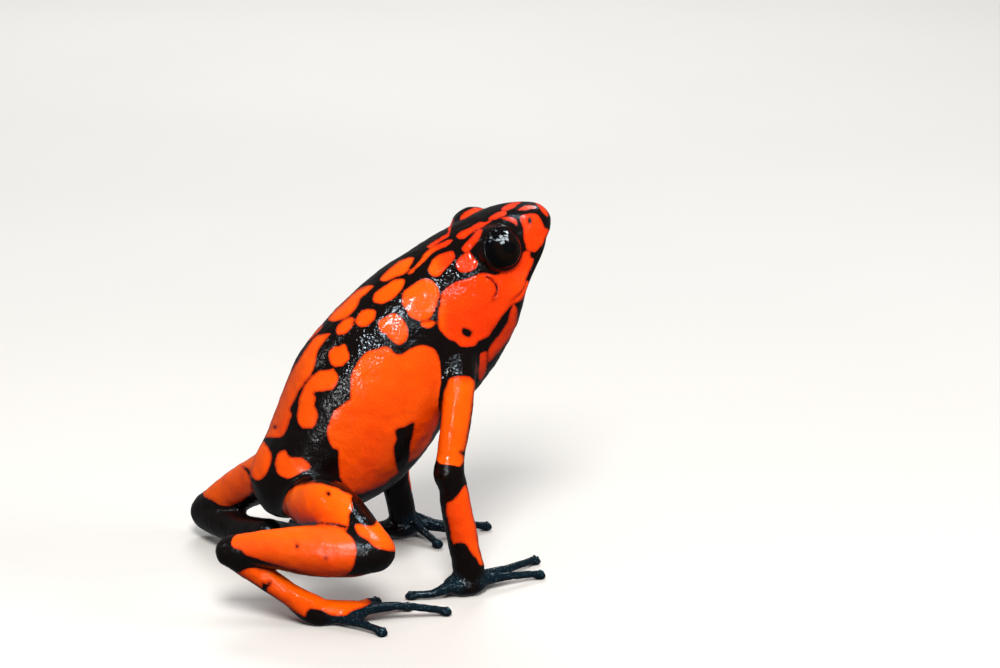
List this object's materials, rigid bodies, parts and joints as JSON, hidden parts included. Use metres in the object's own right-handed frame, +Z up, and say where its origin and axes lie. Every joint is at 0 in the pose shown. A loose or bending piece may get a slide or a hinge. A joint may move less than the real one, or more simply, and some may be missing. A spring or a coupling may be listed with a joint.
{
  "type": "poison frog model",
  "caption": "Life-size still model of a small harlequin poison frog, propped up on its hands with its hind legs folded and its snout raised.",
  "frame": {"origin": "on the floor, under the middle of the box round the frog", "axes": "+Z up, the frog faces -Y, its left side is towards +X"},
  "size_m": [0.0337, 0.0335, 0.0335],
  "materials": {
    "orange_skin": "wet glossy skin",
    "black_skin": "wet glossy skin",
    "eye": "polished wet eye"
  },
  "bodies": {
    "root": {"head": "orange_skin", "torso": "orange_skin", "eye_left": "eye", "eye_right": "eye", "upper_arm_left": "orange_skin", "upper_arm_right": "orange_skin", "forearm_left": "orange_skin", "forearm_right": "orange_skin", "hand_left": "black_skin", "hand_right": "black_skin", "thigh_left": "orange_skin", "thigh_right": "orange_skin", "shank_left": "orange_skin", "shank_right": "orange_skin", "tarsus_left": "orange_skin", "tarsus_right": "orange_skin", "foot_left": "black_skin", "foot_right": "black_skin"}
  },
  "joints": []
}
